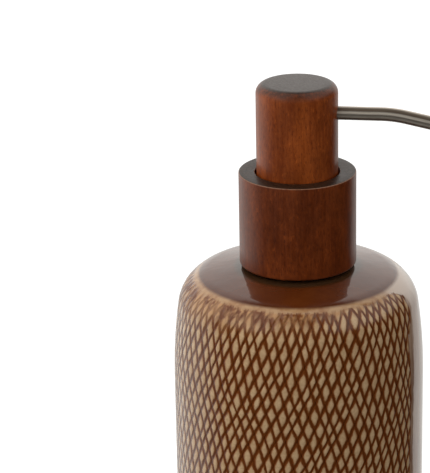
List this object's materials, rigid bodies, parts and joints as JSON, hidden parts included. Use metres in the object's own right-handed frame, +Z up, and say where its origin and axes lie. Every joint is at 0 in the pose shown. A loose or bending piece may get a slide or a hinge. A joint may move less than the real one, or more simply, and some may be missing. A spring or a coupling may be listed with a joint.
{
  "type": "soap pump dispenser",
  "caption": "Stoneware bottle with a carved net pattern under glossy glaze, a turned wooden collar and pump head, and a bent steel spout; the head presses and turns, the collar unscrews.",
  "frame": {"origin": "centre of the foot ring, in the plane the bottle stands on", "axes": "+Z up along the bottle's axis, +X along the spout at rest"},
  "size_m": [0.1033, 0.0848, 0.18],
  "materials": {
    "glaze": "glossy glaze, darker in the carved lines and on the shoulder, unglazed foot and neck",
    "stained_wood": "fine upright grain, satin lacquer",
    "steel": "brushed lengthwise",
    "cap_plastic": "moulded",
    "pump_plastic": "natural polypropylene",
    "soft_plastic": "soft polyethylene",
    "seal_rubber": "soft"
  },
  "bodies": {
    "bottle": {"bottle": "glaze"},
    "pump": {"pump_housing": "pump_plastic", "lock_collar": "cap_plastic", "stem_seal": "seal_rubber", "neck_gasket": "seal_rubber", "dip_tube": "pump_plastic", "ball_retainer": "pump_plastic", "return_spring": "steel"},
    "collar": {"closure_cap": "cap_plastic", "wooden_collar": "stained_wood"},
    "plunger": {"stem": "pump_plastic", "piston_rod": "pump_plastic"},
    "piston": {"piston": "soft_plastic"},
    "ball": {"check_ball": "steel"},
    "head": {"actuator_insert": "cap_plastic", "wooden_head": "stained_wood", "spout_tube": "steel"}
  },
  "joints": [
    {"name": "pump_lift", "type": "slide", "parent": "bottle", "child": "pump", "axis": [0, 0, 1], "range_m": [0, 0.005]},
    {"name": "collar_turn", "type": "hinge", "parent": "pump", "child": "collar", "pos_m": [0, 0, 0.128], "axis": [0, 0, 1], "range_deg": [0, 450]},
    {"name": "head_press", "type": "slide", "parent": "pump", "child": "plunger", "axis": [0, 0, -1], "range_m": [0, 0.012], "stiffness_N_per_m": 500, "springref_m": -0.01, "deforming": ["return_spring"]},
    {"name": "head_swivel", "type": "hinge", "parent": "plunger", "child": "head", "pos_m": [0, 0, 0.155], "axis": [0, 0, 1], "continuous": true},
    {"name": "piston_shift", "type": "slide", "parent": "plunger", "child": "piston", "axis": [0, 0, 1], "range_m": [0, 0.0012]},
    {"name": "ball_lift", "type": "slide", "parent": "pump", "child": "ball", "axis": [0, 0, 1], "range_m": [0, 0.0015]}
  ],
  "couplings": [
    {"joint": "collar_turn", "follows": "pump_lift", "rad_per_m": 1570.8}
  ]
}
